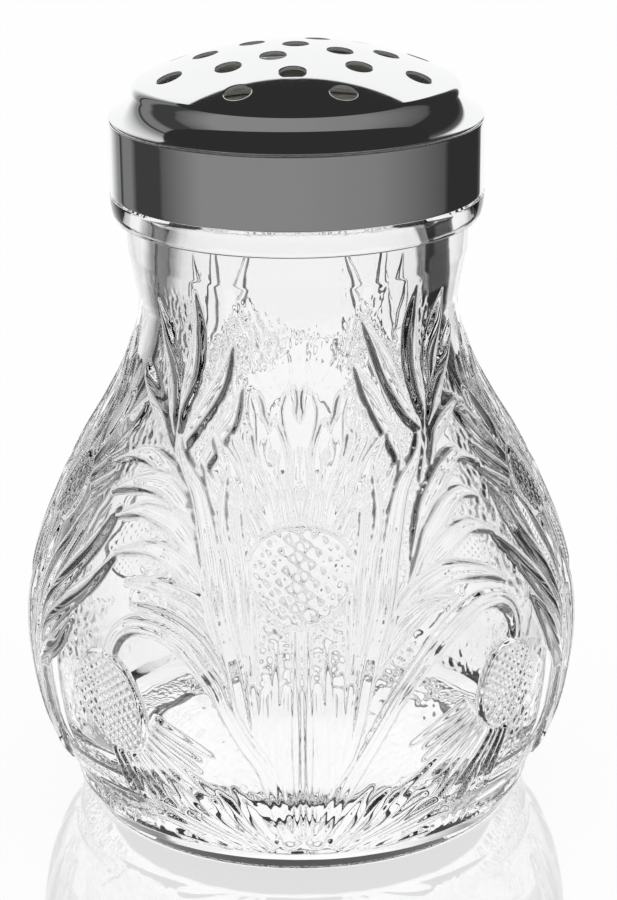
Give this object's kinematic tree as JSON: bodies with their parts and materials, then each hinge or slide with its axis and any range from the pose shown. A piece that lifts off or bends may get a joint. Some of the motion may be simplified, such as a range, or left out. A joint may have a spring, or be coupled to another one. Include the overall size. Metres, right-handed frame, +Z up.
{
  "type": "sugar shaker",
  "caption": "Pear-shaped pressed-glass sugar shaker with a flat foot and a screw-on perforated metal dome lid, sealed by a ring on the glass rim.",
  "frame": {"origin": "centre of the face that the foot stands on", "axes": "+Z up along the axis of the jar and lid, -Y towards the viewer of the picture, +X to the viewer's right"},
  "size_m": [0.0926, 0.0924, 0.1264],
  "materials": {
    "jar_glass": "clear, polished, with pressed relief",
    "seal": "matte",
    "liner": "matte",
    "lid_metal": "polished"
  },
  "bodies": {
    "jar": {"glass_jar": "jar_glass"},
    "seal": {"sealing_ring": "seal"},
    "lid": {"threaded_liner": "liner", "lid_band": "lid_metal", "lid_dome": "lid_metal"}
  },
  "joints": [
    {"name": "lid_rise", "type": "slide", "parent": "jar", "child": "seal", "axis": [0, 0, 1], "range_m": [0, 0.00432]},
    {"name": "lid_turn", "type": "hinge", "parent": "seal", "child": "lid", "pos_m": [0, 0, 0.1085], "axis": [0, 0, 1], "range_deg": [0, 432]}
  ],
  "couplings": [
    {"joint": "lid_rise", "follows": "lid_turn", "m_per_rad": 0.00057296}
  ]
}
